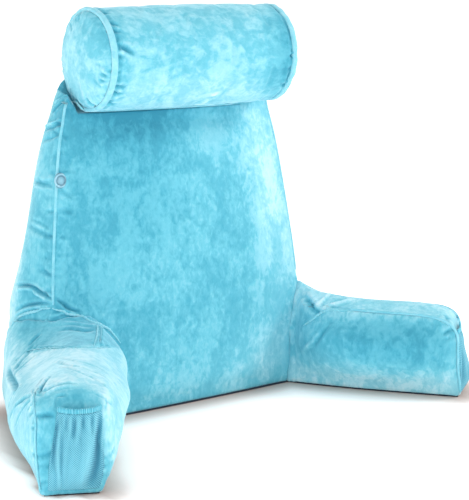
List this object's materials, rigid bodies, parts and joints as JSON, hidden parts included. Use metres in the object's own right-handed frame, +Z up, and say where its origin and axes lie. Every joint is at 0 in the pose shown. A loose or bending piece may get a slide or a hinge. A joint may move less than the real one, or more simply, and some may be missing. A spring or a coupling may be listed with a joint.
{
  "type": "reading pillow with arms",
  "caption": "Upright velour reading pillow: a tall filled back with arms that reach forward, a round neck roll on its top edge, net pockets on the arm fronts and a button on the left seam.",
  "frame": {"origin": "bottom centre of the bounding box, on the surface that the pillow stands on", "axes": "+Z up, -Y the way a sitter faces, +X to the right of someone who looks at the pillow's front"},
  "size_m": [0.8886, 0.4682, 0.6444],
  "materials": {
    "velour": "short crushed pile, matt with light streaks where the pile leans away",
    "net": "fine even net, matt",
    "elastic": "ruched elastic band, matt",
    "base_cloth": "plain dark woven cloth, matt",
    "button_gloss": "pearly, glossy"
  },
  "bodies": {
    "root": {"back": "velour", "arm_left": "velour", "arm_right": "velour", "neck_roll": "velour", "roll_piping_left": "velour", "roll_piping_right": "velour", "welt_back": "velour", "welt_left_inner": "velour", "welt_left_outer": "velour", "welt_right_inner": "velour", "welt_right_outer": "velour", "pocket_left": "net", "pocket_right": "net", "elastic_left": "elastic", "elastic_right": "elastic", "button": "button_gloss", "base": "base_cloth"}
  },
  "joints": []
}
